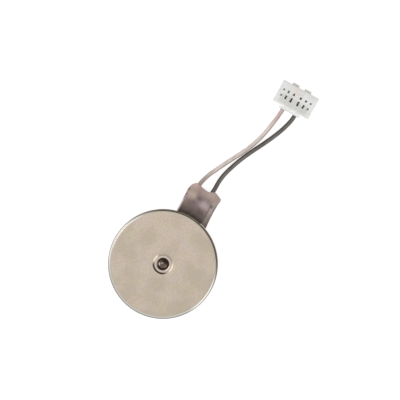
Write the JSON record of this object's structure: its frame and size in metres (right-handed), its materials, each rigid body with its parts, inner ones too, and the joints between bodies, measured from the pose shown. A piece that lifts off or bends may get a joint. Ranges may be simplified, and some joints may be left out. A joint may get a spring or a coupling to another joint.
{
  "type": "vibration coin motor",
  "caption": "Flat round vibration motor: a pressed steel cup over an eccentric rotor, with a film-wrapped solder tongue, thin leads and a small white plug.",
  "frame": {"origin": "centre of the bracket's underside, on the shaft's axis", "axes": "+Z along the shaft, out of the case's dimpled top; +X along the tongue that the leads are soldered to"},
  "size_m": [0.0253, 0.0102, 0.0027],
  "materials": {
    "nickel_plated_steel": "satin nickel over pressed steel",
    "stainless_steel": "satin",
    "ground_steel": "ground bright",
    "polyimide": "amber film",
    "copper": "etched copper",
    "brown_film": "translucent brown film",
    "solder": "bright tin",
    "pink_insulation": "faded red jacket",
    "black_insulation": "black jacket",
    "tinned_copper": "tinned strands",
    "white_nylon": "natural white moulding",
    "tinned_bronze": "pressed sheet",
    "nickel_magnet": "sintered magnet, nickel plated",
    "brush_alloy": "leaf spring",
    "washer_film": "thin polymer film",
    "green_board": "glass fibre board",
    "gilded_copper": "gold flash",
    "enamelled_copper": "enamelled winding",
    "tungsten_alloy": "sintered",
    "black_moulding": "glass filled",
    "bearing_bronze": "oil filled sinter"
  },
  "bodies": {
    "stator": {"case": "nickel_plated_steel", "bracket": "stainless_steel", "shaft": "ground_steel", "flexible_circuit": "polyimide", "trace_positive": "copper", "trace_negative": "copper", "ring_magnet": "nickel_magnet", "thrust_washer_lower": "washer_film", "thrust_washer_upper": "washer_film", "brush_positive": "brush_alloy", "brush_negative": "brush_alloy", "lead_solder_positive": "solder", "lead_solder_negative": "solder", "insulating_tape": "brown_film", "lead_jacket_red": "pink_insulation", "lead_jacket_black": "black_insulation", "conductor_red": "tinned_copper", "conductor_black": "tinned_copper", "plug_housing": "white_nylon", "terminal_red": "tinned_bronze", "terminal_black": "tinned_bronze"},
    "rotor": {"rotor_board": "green_board", "commutator_segment_1": "gilded_copper", "commutator_segment_2": "gilded_copper", "commutator_segment_3": "gilded_copper", "commutator_segment_4": "gilded_copper", "commutator_segment_5": "gilded_copper", "commutator_segment_6": "gilded_copper", "coil_1": "enamelled_copper", "coil_2": "enamelled_copper", "counterweight": "tungsten_alloy", "rotor_moulding": "black_moulding", "bearing_bush": "bearing_bronze"}
  },
  "joints": [
    {"name": "rotor_spin", "type": "hinge", "parent": "stator", "child": "rotor", "pos_m": [0, 0, 0.0017], "axis": [0, 0, 1], "continuous": true}
  ]
}
